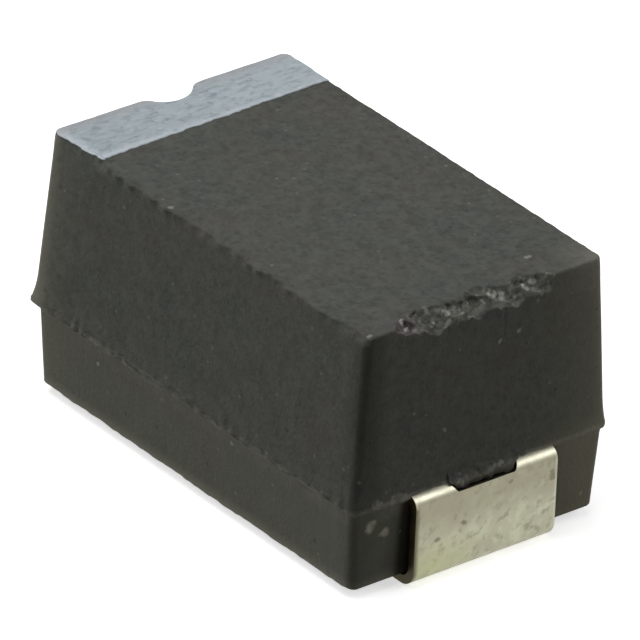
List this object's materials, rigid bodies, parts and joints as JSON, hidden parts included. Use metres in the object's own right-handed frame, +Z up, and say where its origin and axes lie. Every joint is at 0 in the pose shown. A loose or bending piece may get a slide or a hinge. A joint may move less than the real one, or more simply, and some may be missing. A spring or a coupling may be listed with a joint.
{
  "type": "tantalum capacitor",
  "caption": "Moulded surface-mount tantalum chip capacitor with a pale polarity band, a notched anode end and lead strips folded under the case as solder pads.",
  "frame": {"origin": "middle of the seating plane under the two solder pads", "axes": "+X runs along the case to the cathode terminal, so the banded anode end is at -X; +Z points up from the seating plane to the top face; +Y completes a right-handed set"},
  "size_m": [0.0074, 0.0044, 0.004],
  "materials": {
    "moulding_epoxy": "moulded, matt, finely speckled",
    "tinned_strip": "matt tin plate over copper alloy strip",
    "band_mark": "pale marking with fine lines along it",
    "sintered_tantalum": "sintered, porous",
    "tantalum_wire": "drawn wire",
    "washer_polymer": "white, waxy",
    "manganese_dioxide": "matt black crust",
    "graphite": "dark coating with a slight sheen",
    "silver_paint": "matt silver coating",
    "silver_adhesive": "silver-filled adhesive"
  },
  "bodies": {
    "root": {"moulded_case": "moulding_epoxy", "anode_terminal": "tinned_strip", "cathode_terminal": "tinned_strip", "polarity_band": "band_mark", "tantalum_slug": "sintered_tantalum", "anode_wire": "tantalum_wire", "insulating_washer": "washer_polymer", "manganese_dioxide_layer": "manganese_dioxide", "graphite_layer": "graphite", "silver_layer": "silver_paint", "silver_adhesive": "silver_adhesive"}
  },
  "joints": []
}
